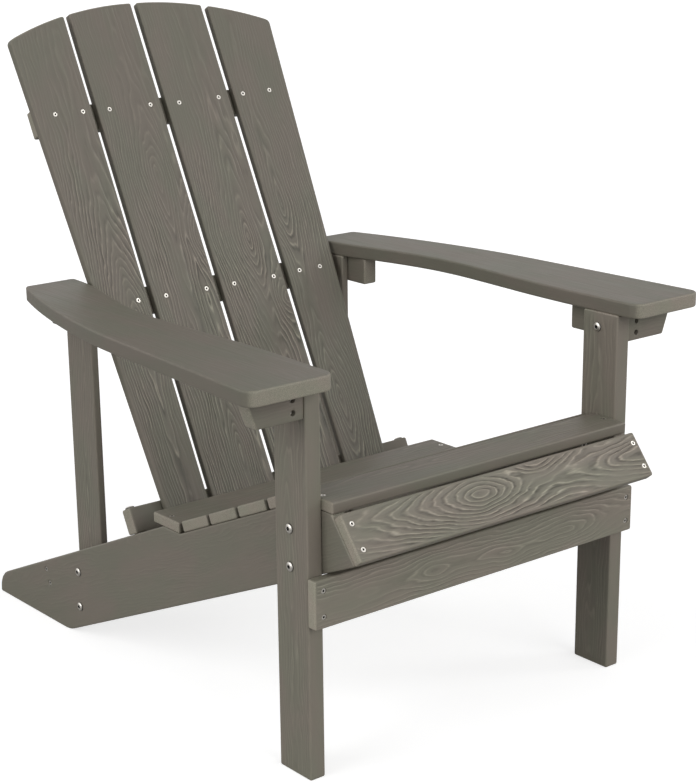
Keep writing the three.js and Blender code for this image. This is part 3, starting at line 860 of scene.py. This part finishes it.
def sleeve_nut(maker, node):
    """A sleeve nut's flange with its socket, and its barrel, open at the far end."""
    low, high, flange = along_node(node)
    length = (high - low).length
    way = (high - low).normalized()
    barrel, bore, thick, socket = 4 * MM, 3.3 * MM, 1.6 * MM, 3.9 * MM
    under = length - thick
    # Painted shade darkens the bore, the flange's foot and the socket.
    levels = [(bore, under - 1.6 * MM, 1), (bore, 0.2 * MM, 1), (bore + 0.2 * MM, 0, 0.3),
              (barrel - 0.2 * MM, 0), (barrel, 0.2 * MM), (barrel, under - 0.1 * MM),
              (barrel, under), (flange - 0.3 * MM, under, 1), (flange, under + 0.25 * MM, 0.8),
              (flange, under + 0.9 * MM, 0), (flange - 0.4 * MM, under + 1.4 * MM),
              (flange - 1.2 * MM, length), (2.4 * MM, length),
              (hexagon(socket), length - 0.2 * MM, 0.9),
              (hexagon(socket), length - 0.6 * MM, 1), (hexagon(socket), length - 2 * MM, 1)]
    turned(maker, low, way, levels)


# ---- Which board is made how ----

Kind = namedtuple("Kind", "face grain figure pitch tone along_edge", defaults=(0, True))
BACKWARDS_UP = (0, 0.45, 0.89)  # along the back, from its foot to its top
FORWARDS_UP = (0, -0.89, 0.45)  # out of the back's face


def outwards(node):
    return (-1, 0, 0) if node.endswith("left") else (1, 0, 0)


def kind_of(node):
    """How a board is made: the way its face looks, the way its grain runs, and its figure."""
    # The fifth number of each kind makes its boards paler or darker for the light that falls on
    # them: painted light, paler on the legs, apron and slanted board, darker on the slats and arms.
    if node.startswith("back_slat"):
        return Kind(FORWARDS_UP, BACKWARDS_UP, slat_figure(node), (4.5 * MM, 1.1 * MM), -0.1)
    if node.startswith("back_rail"):
        return Kind(BACKWARDS_UP, (1, 0, 0), BATTEN, (8 * MM, 3 * MM))
    if node.startswith("seat_slat"):
        return Kind((0, 0.4, 0.9), (1, 0, 0), SEAT, (6 * MM, 1.3 * MM))
    if node.startswith("seat"):
        return Kind((0, 0, 1), (1, 0, 0), SEAT, (6 * MM, 1.3 * MM))
    if node.startswith("armrest"):
        return Kind((0, 0, 1), (0, 1, 0), ARM, (7 * MM, 2 * MM), -0.1, False)
    if node == "waterfall_board":
        return Kind((0, -0.8, 0.6), (1, 0, 0), WATERFALL, (2 * MM, 1 * MM), 0.22)
    if node == "front_apron":
        return Kind((0, -1, 0), (1, 0, 0), APRON, (2.6 * MM, 1 * MM), 0.27)
    if node.startswith("front_bracket"):
        return Kind((0, -1, 0), (1, 0, 0), BATTEN, (5 * MM, 2 * MM))
    if node == "rear_stretcher":
        return Kind((0, 0.91, -0.4), (1, 0, 0), BATTEN, (8 * MM, 3 * MM))
    if node.startswith("front_leg"):
        return Kind(outwards(node), (0, 0, 1), LEG, (6 * MM, 1.5 * MM), 0.14)
    if node.startswith("rear_post"):
        return Kind(outwards(node), (0, 0, 1), POST, (6 * MM, 1.5 * MM), 0.06)
    if node.startswith("stringer"):
        return Kind(outwards(node), (0, -1, 0.44), STRINGER, (7 * MM, 1.7 * MM), 0.05)
    return Kind(outwards(node), (0, 1, 0), BATTEN, (6 * MM, 2 * MM))


def middle(node):
    low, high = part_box(node)
    return (low + high) / 2


STRINGER_MIDDLE = middle("stringer_right").x
LEG_MIDDLE = middle("front_leg_right").x
SLAT_SCREWS = {  # by rail: how far each screw stands to the right of the chair's middle, and
    # how far above the rail's middle, in millimetres
    "back_rail_upper": ((-191, 4), (-143, 5), (-96, 5), (-24, 6), (27, 4.4), (98, 5.5), (143, 6.4),
                        (191, 6.4)),
    "back_rail_middle": ((-183, -1.4), (-145, -1.4), (-95, -1.2), (-23, -1.2), (27.5, -1.2),
                         (99, -1.2), (147.6, 0.2), (185, 0.2)),
    "back_rail_lower": ((-181, 0), (-144, 0), (-96, 0), (-24, 0), (26, 0), (98, 0), (146, 0),
                        (183, 0)),
}
SCREW_DEPTHS = {"front_bracket": 6 * MM, "front_apron": 0.9 * MM, "stringer": 0.5 * MM}


def screw_places(node):
    """Points of the row frame at which a board is screwed down, on or under its face."""
    if node.startswith("back_slat"):
        first = 2 * (int(node[-1]) - 1)
        places = []
        for rail, screws in SLAT_SCREWS.items():
            row = middle(rail)
            for x, lift in screws[first:first + 2]:
                place = Vector((x * MM, row.y, row.z))
                places.append(place + Vector(BACKWARDS_UP) * lift * MM)
        return places
    if node.startswith("seat"):
        centre = middle(node)
        return [Vector((side * STRINGER_MIDDLE, centre.y, centre.z)) for side in (-1, 1)]
    if node in ("waterfall_board", "front_apron"):
        x = STRINGER_MIDDLE if node == "waterfall_board" else LEG_MIDDLE
        centre = middle(node)
        up = Vector((0, 0.62, 0.78)) if node == "waterfall_board" else Vector((0, 0, 1))
        return [Vector((side * x + 1.2 * MM, centre.y, centre.z)) + up * lift * 17 * MM
                for side in (-1, 1) for lift in (-1, 1)]
    if node.startswith("front_bracket"):
        side = -1 if node.endswith("left") else 1
        centre = middle(node)
        return [Vector((side * 291 * MM, centre.y, centre.z + lift * MM)) for lift in (-9, 7)]
    if node.startswith("stringer"):
        centre = middle("rear_stretcher")
        side = -1 if node.endswith("left") else 1
        return [Vector((side * STRINGER_MIDDLE, centre.y, centre.z))
                + Vector((0, 0.404, 0.915)) * lift * 10.6 * MM for lift in (-1, 1)]
    return []


def screw_depth(node):
    """How far below the face a board's screw heads lie."""
    for family, depth in SCREW_DEPTHS.items():
        if node.startswith(family):
            return depth
    return 0.1 * MM


def add_boards(material, steel):
    boards = [name for name in sorted(NODES) if is_board(name)]
    for number, name in enumerate(boards):
        kind = kind_of(name)
        board = Board(name, kind.face, kind.grain, kind.along_edge)
        spots = [board.flat([place])[0] for place in screw_places(name)]
        depth = screw_depth(name)
        seed = 100 * (number + 1)
        board_piece(board, kind, seed, spots, depth, material)
        if spots:
            maker = MeshMaker()
            for spot in spots:
                screw(maker, board, spot, depth)
            fastener_piece(name + "_screws", maker, steel)


def is_board(name):
    return not any(word in name for word in ("_bolt_", "_nut_", "rail_screw"))


def add_fasteners(steel):
    for name in sorted(NODES):
        if is_board(name):
            continue
        maker = MeshMaker()
        make = sleeve_nut if "_nut_" in name else bolt
        make(maker, name)
        fastener_piece(name + "_steel", maker, steel, [name])


# ---- Stage, light and camera ----

def add_floor():
    half = FLOOR_REACH
    mesh = bpy.data.meshes.new("floor")
    corners = [(-half, -half, 0), (half, -half, 0), (half, half, 0), (-half, half, 0)]
    mesh.from_pydata(corners, [], [(0, 1, 2, 3)])
    floor = bpy.data.objects.new("floor", mesh)
    bpy.context.scene.collection.objects.link(floor)
    n = Nodes("pale_floor")
    seen = n.add("LightPath").outputs["Is Camera Ray"]
    diffuse = n.add("BsdfDiffuse", {"Color": (FLOOR_COLOUR, FLOOR_COLOUR, FLOOR_COLOUR, 1)})
    strength = n.math("MULTIPLY", seen, FLOOR_GLOW)
    glow = n.add("Emission", {"Color": (1, 1, 1, 1), "Strength": strength})
    mesh.materials.append(n.finish(n.add("AddShader", {0: diffuse.outputs[0],
                                                       1: glow.outputs[0]}).outputs[0]))


def add_world():
    world = bpy.data.worlds.new("studio")
    bpy.context.scene.world = world
    world.use_nodes = True
    tree = world.node_tree
    tree.nodes.clear()
    output = tree.nodes.new("ShaderNodeOutputWorld")
    mix = tree.nodes.new("ShaderNodeMixShader")
    dome = tree.nodes.new("ShaderNodeBackground")
    dome.inputs["Color"].default_value = (1, 1, 1, 1)
    dome.inputs["Strength"].default_value = DOME_STRENGTH
    white = tree.nodes.new("ShaderNodeBackground")
    white.inputs["Color"].default_value = (1, 1, 1, 1)
    white.inputs["Strength"].default_value = 1.0
    path = tree.nodes.new("ShaderNodeLightPath")
    seen = path.outputs["Is Camera Ray"]
    for name in ("Is Glossy Ray", "Is Transmission Ray"):
        either = tree.nodes.new("ShaderNodeMath")
        either.operation = "MAXIMUM"
        tree.links.new(seen, either.inputs[0])
        tree.links.new(path.outputs[name], either.inputs[1])
        seen = either.outputs[0]
    tree.links.new(seen, mix.inputs["Fac"])
    tree.links.new(dome.outputs[0], mix.inputs[1])
    tree.links.new(white.outputs[0], mix.inputs[2])
    tree.links.new(mix.outputs[0], output.inputs["Surface"])


def add_sun(name, azimuth, elevation, width, strength):
    azimuth, elevation = math.radians(azimuth), math.radians(elevation)
    way = (-math.sin(azimuth) * math.cos(elevation), math.cos(azimuth) * math.cos(elevation),
           -math.sin(elevation))
    light = bpy.data.lights.new(name, "SUN")
    light.energy = strength
    light.angle = math.radians(width)
    lamp = bpy.data.objects.new(name, light)
    lamp.rotation_euler = Vector(way).to_track_quat("-Z", "Y").to_euler()
    bpy.context.scene.collection.objects.link(lamp)


def add_camera():
    data = bpy.data.cameras.new("camera")
    data.lens = CAMERA_LENS
    data.sensor_width = CAMERA_SENSOR
    data.shift_y = CAMERA_SHIFT_Y
    data.clip_end = 200
    forwards = Vector((math.sin(CAMERA_YAW) * math.cos(CAMERA_PITCH),
                       math.cos(CAMERA_YAW) * math.cos(CAMERA_PITCH), -math.sin(CAMERA_PITCH)))
    right = Vector((math.cos(CAMERA_YAW), -math.sin(CAMERA_YAW), 0))
    up = right.cross(forwards)
    rolled = right * math.cos(CAMERA_ROLL) + up * math.sin(CAMERA_ROLL)
    upright = rolled.cross(forwards)
    camera = bpy.data.objects.new("camera", data)
    camera.matrix_world = Matrix((rolled, upright, -forwards)).transposed().to_4x4()
    camera.location = CAMERA_PLACE
    bpy.context.scene.collection.objects.link(camera)
    bpy.context.scene.camera = camera


bpy.context.scene.view_settings.view_transform = "Standard"
add_camera()
add_world()
add_floor()
for sun, settings in SUNS.items():
    add_sun(sun, *settings)
steel = steel_material()
add_boards(board_material(), steel)
add_fasteners(steel)
